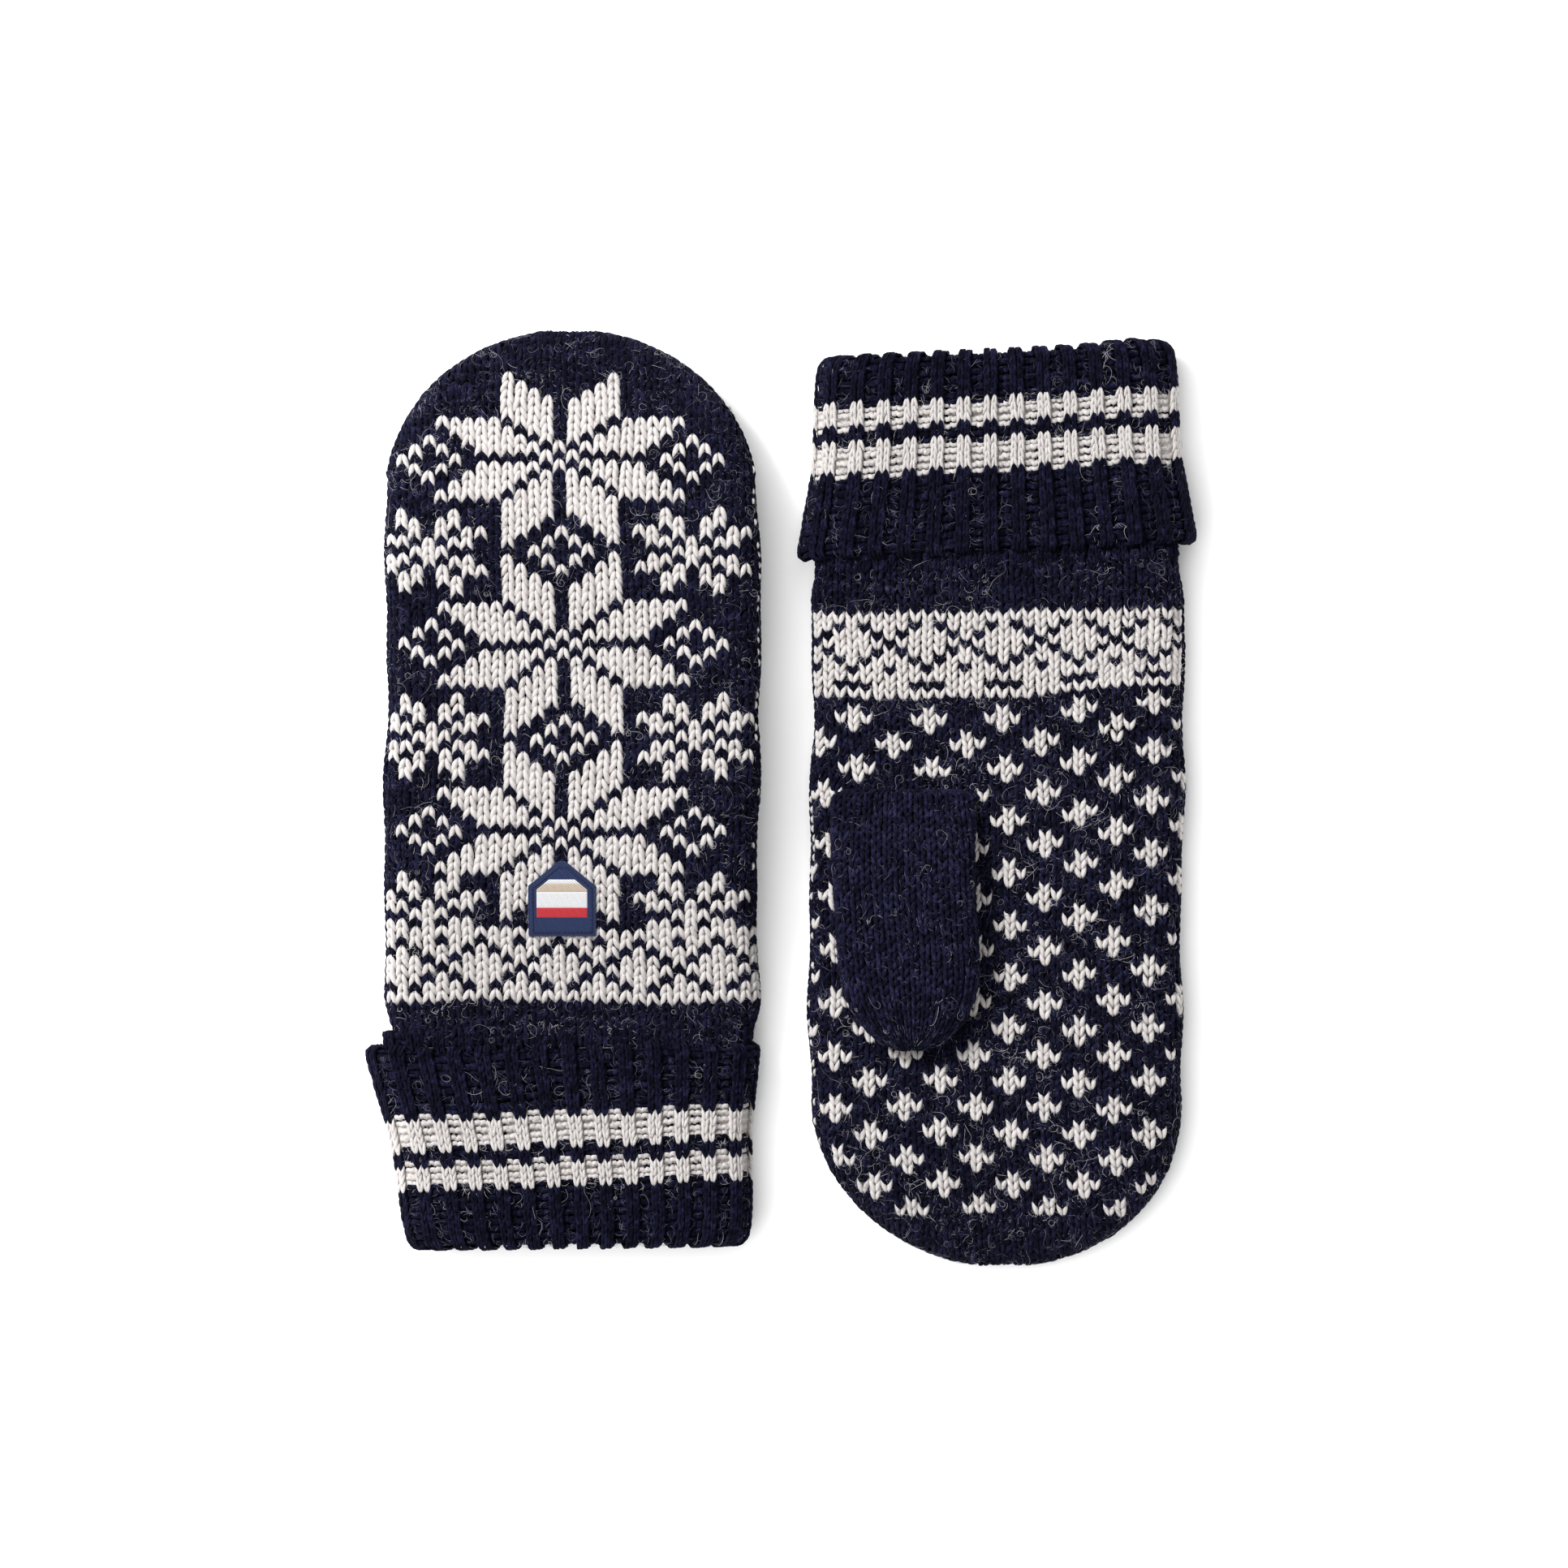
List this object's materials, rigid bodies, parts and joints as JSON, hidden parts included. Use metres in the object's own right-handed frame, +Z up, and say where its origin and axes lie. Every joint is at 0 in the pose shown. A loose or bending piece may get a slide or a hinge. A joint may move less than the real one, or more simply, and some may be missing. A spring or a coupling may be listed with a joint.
{
  "type": "knitted mittens",
  "caption": "Pair of knitted winter mittens with a star pattern, turned-up ribbed cuffs, sewn-in thumbs and a fleece lining, laid flat head to tail.",
  "frame": {"origin": "bottom centre of the pair, on the surface it lies on, half way between the two mittens", "axes": "+Z up; +Y along the mittens, towards the left mitten's fingertip and the right mitten's cuff; +X from the left mitten to the right mitten"},
  "size_m": [0.228, 0.261, 0.0263],
  "materials": {
    "navy_wool": "knitted heathered navy wool with cream pattern stitches, matt and hairy",
    "cream_wool": "knitted cream wool, matt",
    "fleece": "brushed dark grey fleece",
    "label": "tightly woven navy label with plain stripes",
    "thread": "fine sewing thread"
  },
  "bodies": {
    "right_hand": {"right_back_panel": "navy_wool", "right_palm_panel": "navy_wool", "right_side_seam": "cream_wool", "right_cuff_sleeve": "navy_wool", "right_thumb_seam": "navy_wool", "right_hand_lining": "fleece", "right_lining_stitching": "thread"},
    "right_thumb": {"right_thumb_shell": "navy_wool", "right_thumb_lining": "fleece"},
    "right_cuff": {"right_cuff_turnup": "navy_wool"},
    "left_hand": {"left_back_panel": "navy_wool", "left_palm_panel": "navy_wool", "left_side_seam": "cream_wool", "left_cuff_sleeve": "navy_wool", "left_thumb_seam": "navy_wool", "left_hand_lining": "fleece", "left_lining_stitching": "thread", "left_label_patch": "label", "left_label_stitching": "thread"},
    "left_thumb": {"left_thumb_shell": "navy_wool", "left_thumb_lining": "fleece"},
    "left_cuff": {"left_cuff_turnup": "navy_wool"}
  },
  "joints": [
    {"name": "left_lift", "type": "slide", "parent": "right_hand", "child": "left_hand", "axis": [0, 0, 1], "range_m": [0, 0.12]},
    {"name": "left_thumb_lift", "type": "hinge", "parent": "left_hand", "child": "left_thumb", "pos_m": [-0.0339, 0.0052, 0.0055], "axis": [-1, 0, 0], "range_deg": [0, 80]},
    {"name": "right_thumb_lift", "type": "hinge", "parent": "right_hand", "child": "right_thumb", "pos_m": [0.0339, -0.0052, 0.0208], "axis": [-1, 0, 0], "range_deg": [0, 80]},
    {"name": "left_cuff_turn", "type": "slide", "parent": "left_hand", "child": "left_cuff", "axis": [0, -1, 0], "range_m": [0, 0.047]},
    {"name": "right_cuff_turn", "type": "slide", "parent": "right_hand", "child": "right_cuff", "axis": [0, 1, 0], "range_m": [0, 0.047]}
  ]
}
